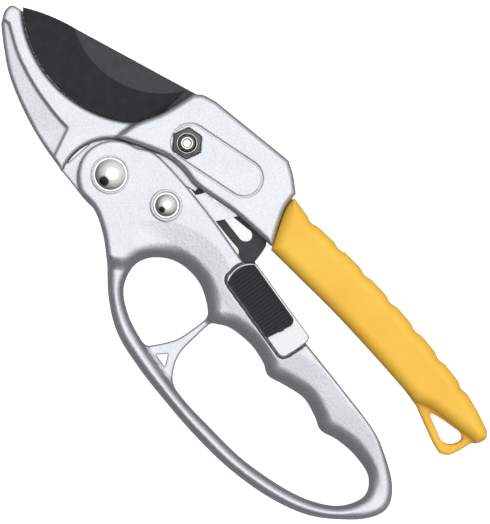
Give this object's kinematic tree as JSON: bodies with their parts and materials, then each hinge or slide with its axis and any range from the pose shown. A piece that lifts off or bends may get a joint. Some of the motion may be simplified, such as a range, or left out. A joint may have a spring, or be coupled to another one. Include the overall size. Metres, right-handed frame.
{
  "type": "ratchet anvil pruning shears",
  "caption": "Ratchet anvil pruning shears with a coated blade, closed finger-loop handle, ribbed thumb lock and a moulded grip with a hanging hole.",
  "frame": {"origin": "bottom centre of the closed tool's box, lying on its back face", "axes": "+X along the tool towards the jaw's tip, +Y towards the loop handle, +Z out of the front face"},
  "size_m": [0.1987, 0.0782, 0.0182],
  "materials": {
    "cast_aluminium": "satin, fine grained",
    "yellow_grip": "soft matte",
    "coated_steel": "satin charcoal coating",
    "plated_steel": "bright plated",
    "plain_steel": "machined",
    "nylon": "natural",
    "polished_chrome": "mirror polished",
    "spring_steel": "drawn wire",
    "bright_steel": "bright stamped",
    "black_plastic": "ribbed, semi-matte"
  },
  "bodies": {
    "frame": {"frame_casting": "cast_aluminium", "grip_sleeve": "yellow_grip", "pivot_bolt": "plated_steel", "pivot_nut": "plated_steel", "pivot_bushing": "plain_steel", "blade_washer_front": "nylon", "blade_washer_back": "nylon", "thrust_washer_front": "nylon", "thrust_washer_back": "nylon", "return_spring": "spring_steel"},
    "blade": {"blade": "coated_steel"},
    "handle": {"loop_handle": "cast_aluminium", "handle_rivet": "polished_chrome", "handle_rivet_cap": "polished_chrome", "pawl_rivet": "polished_chrome", "pawl_rivet_cap": "polished_chrome", "pawl_spacer": "plain_steel", "lock_saddle": "bright_steel"},
    "pawl": {"pawl_plate_front": "bright_steel", "pawl_plate_back": "bright_steel", "ratchet_pin": "plain_steel", "pawl_spring": "spring_steel"},
    "lock": {"lock_button_front": "black_plastic", "lock_button_back": "black_plastic", "lock_tongue": "plain_steel", "lock_studs": "plain_steel"}
  },
  "joints": [
    {"name": "handle_swing", "type": "hinge", "parent": "frame", "child": "handle", "pos_m": [0.03925, 0.0054, 0.0085], "axis": [0, 0, -1], "range_deg": [0, 26]},
    {"name": "blade_swing", "type": "hinge", "parent": "frame", "child": "blade", "pos_m": [0.0309, -0.0189, 0.0085], "axis": [0, 0, -1], "range_deg": [0, 22.12]},
    {"name": "pawl_swing", "type": "hinge", "parent": "handle", "child": "pawl", "pos_m": [0.02065, -0.0014, 0.0085], "axis": [0, 0, -1], "range_deg": [-41.6, 0]},
    {"name": "lock_slide", "type": "slide", "parent": "handle", "child": "lock", "axis": [-0.9956, 0.0941, 0], "range_m": [0, 0.006]}
  ],
  "couplings": [
    {"joint": "blade_swing", "follows": "handle_swing", "ratio": 0.849},
    {"joint": "pawl_swing", "follows": "handle_swing", "ratio": -1.598}
  ]
}
